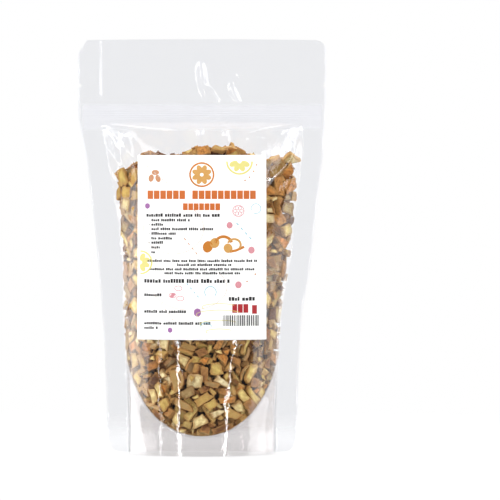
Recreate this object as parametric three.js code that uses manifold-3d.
// A filled stand-up pouch of dried orange peel pieces: a clear film bag with flat side seals, a gusset
// under its belly, a press-to-close zip below a flat header, and a paper label on its front.
// Millimetres, +Z up. The origin is the centre of the footprint, and the label faces -Y.
import * as THREE from "three";
import { mergeVertices } from "three/addons/utils/BufferGeometryUtils.js";
import Module from "manifold-3d";

// Driving dimensions.
const FLAT_WIDTH = 130; // of the empty pouch, laid flat
const HEIGHT = 220; // of the filled pouch, standing
const SIDE_SEAL = 11; // width of each flat side seal
const SEALED_FILM = 0.6; // thickness of the seals and the header
const BELLY_HALF_DEPTH = 31; // of the full pouch, at its base
const ZIP_HEIGHT = 180; // of the zip's middle above the base
const ZIP_BAND = 6; // height of the band that the zip thickens
const ZIP_HALF_DEPTH = 1.7; // of the pouch across the zip
const ZIP_TRACK = { height: 2.8, depth: 1.0, proud: 0.2 };
const NOTCH = { height: 195.5, depth: 2.2, halfHeight: 1.5 }; // tear notch in each side seal
const TOP_CORNER = 6; // corner radii of the outline
const BASE_CORNER = 9;
const GUSSET = { seal: 11.2, rise: 43, sag: 2.5, wall: 1.2 };
const LABEL = { width: 67.6, bottom: 61.4, top: 158.5, thickness: 0.4 };
const FIT_GAP = 0.3; // left between pieces that touch

const BELLY_FALL = { power: 2, sharpness: 0.4 }; // how the belly thins towards the zip
const SHOULDER = 13; // height of the stretch below the zip where the belly thins quickly
const ZIP_RAMP = 1.5; // slope on each edge of the zip's band
const TRACK_CLEAR = 0.8; // between a track's end and the side seal

// What follows from them.
const SPAN = FLAT_WIDTH - 2 * SIDE_SEAL; // film between the side seals, measured along its curve
const FILM_HALF = SEALED_FILM / 2;
const OUTLINE_HALF = FLAT_WIDTH / 2;
const BELLY_TOP = ZIP_HEIGHT - ZIP_BAND / 2 - ZIP_RAMP;

// Steps of the meshes.
const ARC_STEPS = 26;
const BODY_RING = 7.5;
const SHOULDER_RING = 2.2;
const LABEL_STEPS = { across: 16, up: 16 };
const GUSSET_STEPS = { along: 28, across: 10 };

const wasm = await Module();
wasm.setup();

// Half depth of the pouch's air and peel at a height, without the film's own thickness.
function bellyHalfDepth(z) {
  const share = Math.min(Math.max(z / BELLY_TOP, 0), 1);
  return (
    BELLY_HALF_DEPTH *
    (1 - share ** BELLY_FALL.power) ** BELLY_FALL.sharpness
  );
}

// The film can't stretch, so where the pouch is deep it is narrow: its front is a circular arc of
// length SPAN whose rise is the half depth. This finds the arc's half angle by halving an interval.
function arcHalfAngle(rise) {
  let low = 1e-4;
  let high = Math.PI / 2;
  for (let i = 0; i < 40; i++) {
    const middle = (low + high) / 2;
    const middleRise = (SPAN / (2 * middle)) * (1 - Math.cos(middle));
    if (middleRise < rise) low = middle;
    else high = middle;
  }
  return low;
}

// How much the zip thickens the pouch at a place, from 0 to 1.
function zipShare(along, z) {
  const up = (ZIP_BAND / 2 + ZIP_RAMP - Math.abs(z - ZIP_HEIGHT)) / ZIP_RAMP;
  const across = (SPAN / 2 - Math.abs(along)) / ZIP_RAMP;
  return Math.min(Math.max(Math.min(up, across), 0), 1);
}

// A point of the front film: along is measured on the film from its middle line. Returns the
// distance from the middle line and the half depth there.
function section(along, z) {
  const half = arcHalfAngle(bellyHalfDepth(z));
  const radius = SPAN / (2 * half);
  const turn = Math.min(Math.abs(along) / radius, half);
  const side = radius * Math.sin(turn) + Math.max(Math.abs(along) - SPAN / 2, 0);
  const bulge = radius * (Math.cos(turn) - Math.cos(half));
  const zip = (ZIP_HALF_DEPTH - FILM_HALF) * zipShare(along, z);
  return { x: Math.sign(along) * side, halfDepth: bulge + FILM_HALF + zip };
}

// Half width of the flat outline at a height: straight sides, round corners and the tear notches.
function outlineHalf(z) {
  const roundOff = (radius, fromEnd) => {
    const inside = Math.max(radius - fromEnd, 0);
    return radius - Math.sqrt(radius ** 2 - inside ** 2);
  };
  const notch = Math.max(1 - Math.abs(z - NOTCH.height) / NOTCH.halfHeight, 0);
  return (
    OUTLINE_HALF -
    roundOff(BASE_CORNER, z) -
    roundOff(TOP_CORNER, HEIGHT - z) -
    NOTCH.depth * notch
  );
}

// Heights between two levels, evenly spaced with a step of at most the one given.
function levels(from, to, step) {
  const count = Math.ceil((to - from) / step);
  return Array.from({ length: count + 1 }, (_, i) => from + ((to - from) * i) / count);
}

// Heights of the pouch's rings, closer together where its outline or thickness changes quickly.
function ringHeights() {
  const bandHalf = ZIP_BAND / 2;
  const heights = [
    ...levels(0, BASE_CORNER, BASE_CORNER / 5),
    ...levels(BASE_CORNER, BELLY_TOP - SHOULDER, BODY_RING),
    ...levels(BELLY_TOP - SHOULDER, BELLY_TOP, SHOULDER_RING),
    ...[-bandHalf, bandHalf, bandHalf + ZIP_RAMP].map((dz) => ZIP_HEIGHT + dz),
    ...[-1, 0, 1].map((side) => NOTCH.height + side * NOTCH.halfHeight),
    ...levels(HEIGHT - TOP_CORNER, HEIGHT, TOP_CORNER / 5),
  ];
  return [...new Set(heights)].sort((a, b) => a - b);
}

// A closed surface from a grid of points, rows of equal length that each go round once. The first
// and last rows are the ends, and each is closed by joining its two halves.
function closedLoft(rows) {
  const count = rows[0].length;
  const positions = rows.flat(2);
  const faces = [];
  const quad = (a, b, c, d) => faces.push(a, b, c, a, c, d);
  for (let r = 0; r + 1 < rows.length; r++)
    for (let i = 0; i < count; i++) {
      const next = (i + 1) % count;
      quad(r * count + i, r * count + next, (r + 1) * count + next, (r + 1) * count + i);
    }
  const last = (rows.length - 1) * count;
  for (let i = 0; i + 1 < count / 2; i++) {
    const facing = count - 1 - i;
    quad(i, facing, facing - 1, i + 1);
    quad(last + i, last + i + 1, last + facing - 1, last + facing);
  }
  const geometry = new THREE.BufferGeometry();
  geometry.setAttribute("position", new THREE.Float32BufferAttribute(positions, 3));
  geometry.setIndex(faces);
  return geometry;
}

function toSolid(geometry) {
  const plain = geometry.clone();
  plain.deleteAttribute("normal");
  plain.deleteAttribute("uv");
  const merged = mergeVertices(plain, 1e-4);
  return new wasm.Manifold(
    new wasm.Mesh({
      numProp: 3,
      vertProperties: new Float32Array(merged.attributes.position.array),
      triVerts: new Uint32Array(merged.index.array),
    }),
  );
}

function toGeometry(solid) {
  const mesh = solid.getMesh();
  const geometry = new THREE.BufferGeometry();
  geometry.setAttribute("position", new THREE.BufferAttribute(mesh.vertProperties, 3));
  geometry.setIndex(new THREE.BufferAttribute(mesh.triVerts, 1));
  return geometry.toNonIndexed();
}

// The whole bag with its contents, from the base to the top edge.
function bagSolid() {
  const rows = ringHeights().map((z) => {
    const edge = outlineHalf(z);
    const arc = Array.from(
      { length: ARC_STEPS + 1 },
      (_, i) => (SPAN * i) / ARC_STEPS - SPAN / 2,
    );
    const front = [-edge, ...arc, edge].map((along) => {
      const { x, halfDepth } = section(along, z);
      return [x, -halfDepth, z];
    });
    const back = front.map(([x, y]) => [x, -y, z]).reverse();
    return [...front, ...back];
  });
  return toSolid(closedLoft(rows));
}

// Height of the gusset film under the peel: it leaves the skirts along a U-shaped seal, low in the
// middle and high at the side seals, and sags a little between front and back.
function gussetHeight(along, across) {
  const sealLine = GUSSET.seal + GUSSET.rise * (along / (SPAN / 2)) ** 2;
  return sealLine - GUSSET.sag * (1 - across ** 2);
}

// The space under the gusset, between the front and back skirts that the pouch stands on.
function gussetRecess() {
  const below = -5;
  const reach = SPAN / 2 - 2 * GUSSET.wall;
  const places = levels(-reach, reach, (2 * reach) / GUSSET_STEPS.along).reverse();
  const rows = places.map((along) => {
    const { x, halfDepth } = section(along, 0);
    const inside = halfDepth - GUSSET.wall;
    const roof = levels(-1, 1, 2 / GUSSET_STEPS.across).map((across) => [
      x,
      inside * across,
      gussetHeight(along, across),
    ]);
    const floor = roof.map(([, y]) => [x, y, below]).reverse();
    return [...roof, ...floor];
  });
  return toSolid(closedLoft(rows));
}

// A box for one zip track on the front (side -1) or the back (side 1) of the pouch: from its foot
// near the middle plane out to its face, and larger by the gap all round where it is a groove.
function trackBox(side, gap) {
  const foot = ZIP_HALF_DEPTH + ZIP_TRACK.proud - ZIP_TRACK.depth;
  const face = foot + ZIP_TRACK.depth;
  const length = SPAN - 2 * TRACK_CLEAR;
  const box = new THREE.BoxGeometry(
    length + 2 * gap,
    face - foot + 2 * gap,
    ZIP_TRACK.height + 2 * gap,
  );
  return box.translate(0, (side * (foot + face)) / 2, ZIP_HEIGHT);
}

function pouchGeometry() {
  let bag = bagSolid().subtract(gussetRecess());
  for (const side of [-1, 1]) bag = bag.subtract(toSolid(trackBox(side, FIT_GAP)));
  return toGeometry(bag);
}

// Distance in front of the middle plane, of the pouch's front at a place seen from the front.
function frontDepth(x, z) {
  const half = arcHalfAngle(bellyHalfDepth(z));
  const radius = SPAN / (2 * half);
  return Math.sqrt(radius ** 2 - x ** 2) - radius * Math.cos(half) + FILM_HALF;
}

// A point above the pouch's front, moved out along the surface's own normal.
function aboveFront(x, z, lift) {
  const step = 0.5;
  const slopeX = (frontDepth(x + step, z) - frontDepth(x - step, z)) / (2 * step);
  const slopeZ = (frontDepth(x, z + step) - frontDepth(x, z - step)) / (2 * step);
  const normal = new THREE.Vector3(-slopeX, -1, -slopeZ).normalize();
  return [
    x + normal.x * lift,
    -frontDepth(x, z) + normal.y * lift,
    z + normal.z * lift,
  ];
}

// The label is a sheet that follows the pouch's front, rectangular as seen from the front.
function labelGeometry() {
  const half = LABEL.width / 2;
  const across = levels(-half, half, LABEL.width / LABEL_STEPS.across);
  const up = (LABEL.top - LABEL.bottom) / LABEL_STEPS.up;
  const rows = levels(LABEL.bottom, LABEL.top, up).map((z) => [
    ...across.map((x) => aboveFront(x, z, FIT_GAP + LABEL.thickness)),
    ...across.map((x) => aboveFront(x, z, FIT_GAP)).reverse(),
  ]);
  return toGeometry(toSolid(closedLoft(rows)));
}

// A finish for one piece, with its colour, roughness and any see-through look.
function finish(color, roughness, extra = {}) {
  return new THREE.MeshStandardMaterial({ color, roughness, metalness: 0, ...extra });
}

const clearFilm = finish(0xe8e9ee, 0.12, { transparent: true, opacity: 0.35 });
const zipPlastic = finish(0xf0f1f4, 0.3, { transparent: true, opacity: 0.6 });
const labelPaper = finish(0xfdfdfb, 0.55);

const pouchOfPeel = new THREE.Group();

function addPiece(name, geometry, material) {
  const mesh = new THREE.Mesh(geometry, material);
  mesh.name = name;
  pouchOfPeel.add(mesh);
}

addPiece("pouch", pouchGeometry(), clearFilm);
addPiece("zip_track_front", trackBox(-1, 0), zipPlastic);
addPiece("zip_track_back", trackBox(1, 0), zipPlastic);
addPiece("label", labelGeometry(), labelPaper);

export default pouchOfPeel;
